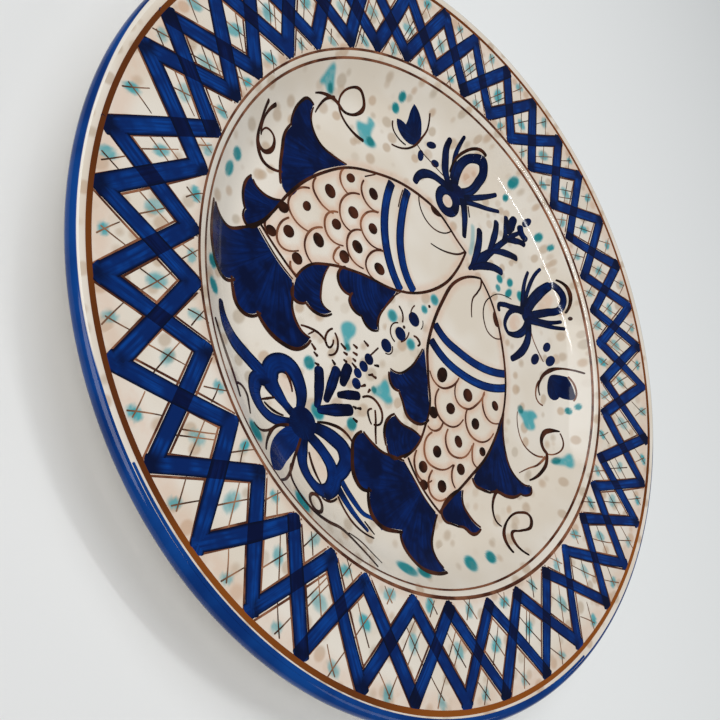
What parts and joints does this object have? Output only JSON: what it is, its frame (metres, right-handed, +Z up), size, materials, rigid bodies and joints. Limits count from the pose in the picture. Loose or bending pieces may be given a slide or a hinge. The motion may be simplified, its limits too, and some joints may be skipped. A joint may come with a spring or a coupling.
{
  "type": "decorative ceramic plate",
  "caption": "Round wheel-turned earthenware plate with a shallow well, broad rim, rounded lip and foot ring, glazed, and hand painted with two fish and a zigzag border.",
  "frame": {"origin": "centre of the foot ring's flat underside, where the plate stands on a table", "axes": "+Z up out of the painted face along the plate's axis of revolution; +Y towards the top of the painting, where the sprig stands above the two fish heads; the bow at the bottom is at -Y"},
  "size_m": [0.2998, 0.2998, 0.0262],
  "materials": {
    "bare_clay": "unglazed, matt and slightly gritty",
    "cream_glaze": "glossy cream glaze with soft peach and grey clouding",
    "cobalt_glaze": "glossy cobalt blue brushwork",
    "brown_line": "glossy thin dark brown brush line",
    "turquoise_glaze": "glossy soft-edged turquoise dab",
    "peach_wash": "glossy thin peach wash"
  },
  "bodies": {
    "root": {"clay_body": "bare_clay", "face_glaze": "cream_glaze", "lip_band": "cobalt_glaze", "back_glaze": "cream_glaze", "recess_glaze": "cream_glaze"}
  },
  "joints": []
}
